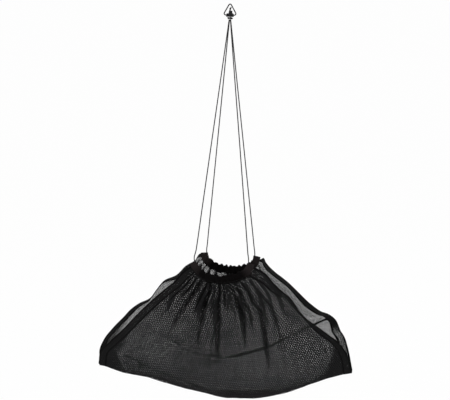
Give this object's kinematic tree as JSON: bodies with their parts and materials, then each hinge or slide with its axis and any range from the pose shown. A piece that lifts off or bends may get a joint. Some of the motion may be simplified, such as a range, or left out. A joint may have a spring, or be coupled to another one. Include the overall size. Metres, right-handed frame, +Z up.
{
  "type": "weigh sling",
  "caption": "Mesh weigh sling: a wide sheet of fine black mesh gathered on draw cords under a triangular hanging ring.",
  "frame": {"origin": "the point inside the ring's top corner where the scale's hook bears", "axes": "+Z up along the cords, X along the sling's width, -Y the front"},
  "size_m": [0.7565, 0.1624, 1.1348],
  "materials": {
    "ring_wire": "satin black coated wire",
    "cord": "black braided cord",
    "mesh": "fine black knitted mesh",
    "hem": "black mesh turned in and sewn"
  },
  "bodies": {
    "ring": {"hanging_ring": "ring_wire"},
    "sling": {"hitch_left_turns": "cord", "hitch_right_turns": "cord", "stopper_knot": "cord", "front_panel_upper": "mesh", "front_panel_lower": "mesh", "back_panel_upper": "mesh", "back_panel_lower": "mesh", "bottom_fold": "mesh", "front_left_hem_upper": "hem", "front_left_hem_lower": "hem", "front_right_hem_upper": "hem", "front_right_hem_lower": "hem", "back_left_hem_upper": "hem", "back_left_hem_lower": "hem", "back_right_hem_upper": "hem", "back_right_hem_lower": "hem", "left_corner_hem": "hem", "right_corner_hem": "hem"},
    "front_loop": {"front_draw_cord": "cord", "front_casing": "hem"},
    "back_loop": {"back_draw_cord": "cord", "back_casing": "hem"}
  },
  "joints": [
    {"name": "sling_swing", "type": "hinge", "parent": "ring", "child": "sling", "pos_m": [0, 0, -0.02774], "axis": [1, 0, 0], "range_deg": [-60, 60]},
    {"name": "front_mouth_open", "type": "hinge", "parent": "sling", "child": "front_loop", "pos_m": [0, 0, -0.0391], "axis": [-1, 0, 0], "range_deg": [-4, 6], "deforming": ["front_panel_upper", "front_left_hem_upper", "front_right_hem_upper"]},
    {"name": "back_mouth_open", "type": "hinge", "parent": "sling", "child": "back_loop", "pos_m": [0, 0, -0.0391], "axis": [1, 0, 0], "range_deg": [-4, 6], "deforming": ["back_panel_upper", "back_left_hem_upper", "back_right_hem_upper"]}
  ]
}
